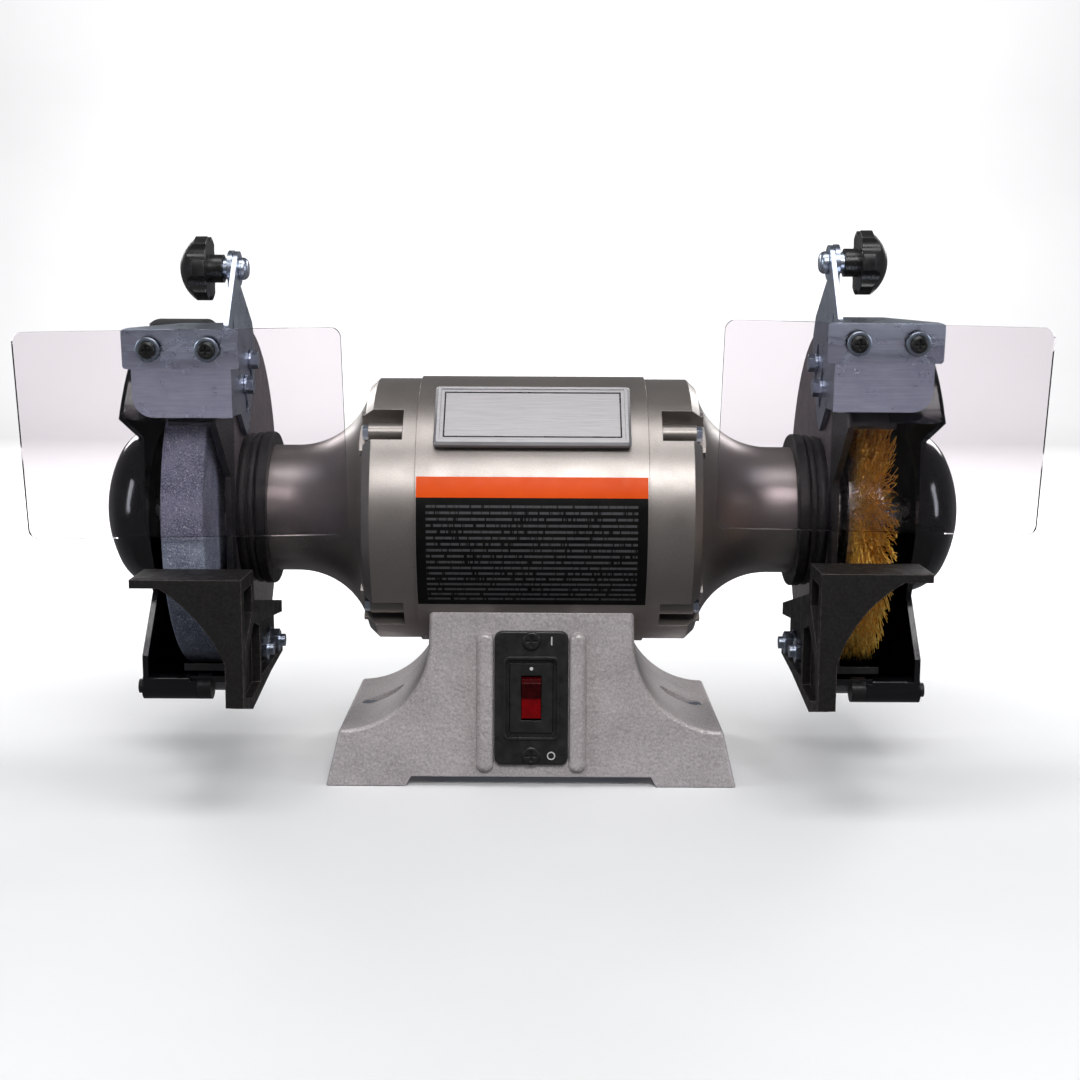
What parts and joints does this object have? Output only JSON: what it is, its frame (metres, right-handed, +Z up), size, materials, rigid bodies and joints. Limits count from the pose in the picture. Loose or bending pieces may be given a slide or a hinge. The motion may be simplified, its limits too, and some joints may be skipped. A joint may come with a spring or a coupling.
{
  "type": "bench grinder",
  "caption": "Pedestal-based bench grinder with a grinding wheel and a wire wheel, guards, clear eye shields, spark arrestors, tool rests and a rocker switch.",
  "frame": {"origin": "on the bench plane, midway between the two bench holes in the feet", "axes": "+X along the spindle towards the wire wheel, +Y to the back of the machine, +Z up"},
  "size_m": [0.5982, 0.264, 0.3437],
  "materials": {
    "base_paint": "hammered light grey enamel",
    "motor_paint": "satin warm grey metallic",
    "guard_paint": "black enamel inside and in front, hammered grey-brown behind",
    "cover_paint": "gloss black enamel",
    "collar_rubber": "matt black",
    "zinc": "bright zinc plate",
    "steel": "machined",
    "rest_iron": "rough black casting with worn corners",
    "abrasive": "blue-grey vitrified grit",
    "wire": "crimped wire",
    "shield_plastic": "clear, very slightly tinted",
    "black_plastic": "moulded",
    "switch_plastic": "moulded black-brown",
    "toggle_red": "translucent red",
    "plate_aluminium": "satin with a bright bevel",
    "label_film": "printed film with an orange header",
    "copper": "enamelled winding wire",
    "laminations": "stacked electrical steel",
    "capacitor_skin": "moulded can"
  },
  "bodies": {
    "frame": {"arrestor_bolts": "zinc", "base_casting": "base_paint", "base_plate": "zinc", "base_plate_screws": "zinc", "bearing_balls": "steel", "bearing_outer_rings": "steel", "cable_gland": "black_plastic", "capacitor": "capacitor_skin", "capacitor_clamp": "zinc", "cover_screws": "black_plastic", "foot_bolts": "zinc", "guard_screws": "steel", "left_collar": "collar_rubber", "left_end_bell": "motor_paint", "left_guard_casting": "guard_paint", "left_guard_cover": "cover_paint", "motor_shell": "motor_paint", "nameplate": "plate_aluminium", "rest_bolts": "zinc", "right_collar": "collar_rubber", "right_end_bell": "motor_paint", "right_guard_casting": "guard_paint", "right_guard_cover": "cover_paint", "safety_label": "label_film", "stator_core": "laminations", "stator_windings": "copper", "switch_body": "switch_plastic", "switch_plate": "switch_plastic", "switch_screws": "black_plastic", "through_bolts": "zinc", "through_nuts": "zinc", "wave_washer": "steel"},
    "spindle": {"spindle_shaft": "steel", "rotor_core": "laminations", "bearing_inner_rings": "steel", "grinding_wheel": "abrasive", "wire_wheel_hub": "steel", "wire_brush": "wire", "inner_flanges": "steel", "outer_flanges": "steel", "spindle_nuts": "steel"},
    "toggle": {"switch_toggle": "toggle_red"},
    "left_arrestor": {"left_spark_arrestor": "zinc", "left_pivot_bolt": "zinc"},
    "left_shield": {"left_shield_bracket": "zinc", "left_eye_shield": "shield_plastic", "left_shield_screws": "black_plastic"},
    "left_knob": {"left_knob": "black_plastic"},
    "left_rest": {"left_tool_rest": "rest_iron"},
    "right_arrestor": {"right_spark_arrestor": "zinc", "right_pivot_bolt": "zinc"},
    "right_shield": {"right_shield_bracket": "zinc", "right_eye_shield": "shield_plastic", "right_shield_screws": "black_plastic"},
    "right_knob": {"right_knob": "black_plastic"},
    "right_rest": {"right_tool_rest": "rest_iron"}
  },
  "joints": [
    {"name": "spindle_spin", "type": "hinge", "parent": "frame", "child": "spindle", "pos_m": [0, 0, 0.166], "axis": [1, 0, 0], "continuous": true},
    {"name": "switch_toggle", "type": "hinge", "parent": "frame", "child": "toggle", "pos_m": [0, -0.06585, 0.05581], "axis": [1, 0, 0], "range_deg": [-24, 0]},
    {"name": "left_arrestor_slide", "type": "slide", "parent": "frame", "child": "left_arrestor", "axis": [0, 0.3401, -0.9404], "range_m": [-0.008, 0.0015]},
    {"name": "left_shield_tilt", "type": "hinge", "parent": "left_arrestor", "child": "left_shield", "pos_m": [-0.1806, -0.05, 0.319], "axis": [1, 0, 0], "range_deg": [-75, 0]},
    {"name": "left_knob_turn", "type": "hinge", "parent": "left_arrestor", "child": "left_knob", "pos_m": [-0.2, -0.05, 0.319], "axis": [1, 0, 0], "continuous": true},
    {"name": "left_rest_slide", "type": "slide", "parent": "frame", "child": "left_rest", "axis": [0, 1, 0], "range_m": [-0.012, 0.003]},
    {"name": "right_arrestor_slide", "type": "slide", "parent": "frame", "child": "right_arrestor", "axis": [0, 0.3401, -0.9404], "range_m": [-0.008, 0.0015]},
    {"name": "right_shield_tilt", "type": "hinge", "parent": "right_arrestor", "child": "right_shield", "pos_m": [0.1806, -0.05199, 0.3245], "axis": [1, 0, 0], "range_deg": [-75, 0]},
    {"name": "right_knob_turn", "type": "hinge", "parent": "right_arrestor", "child": "right_knob", "pos_m": [0.2, -0.05199, 0.3245], "axis": [1, 0, 0], "continuous": true},
    {"name": "right_rest_slide", "type": "slide", "parent": "frame", "child": "right_rest", "axis": [0, 1, 0], "range_m": [-0.012, 0.003]}
  ]
}
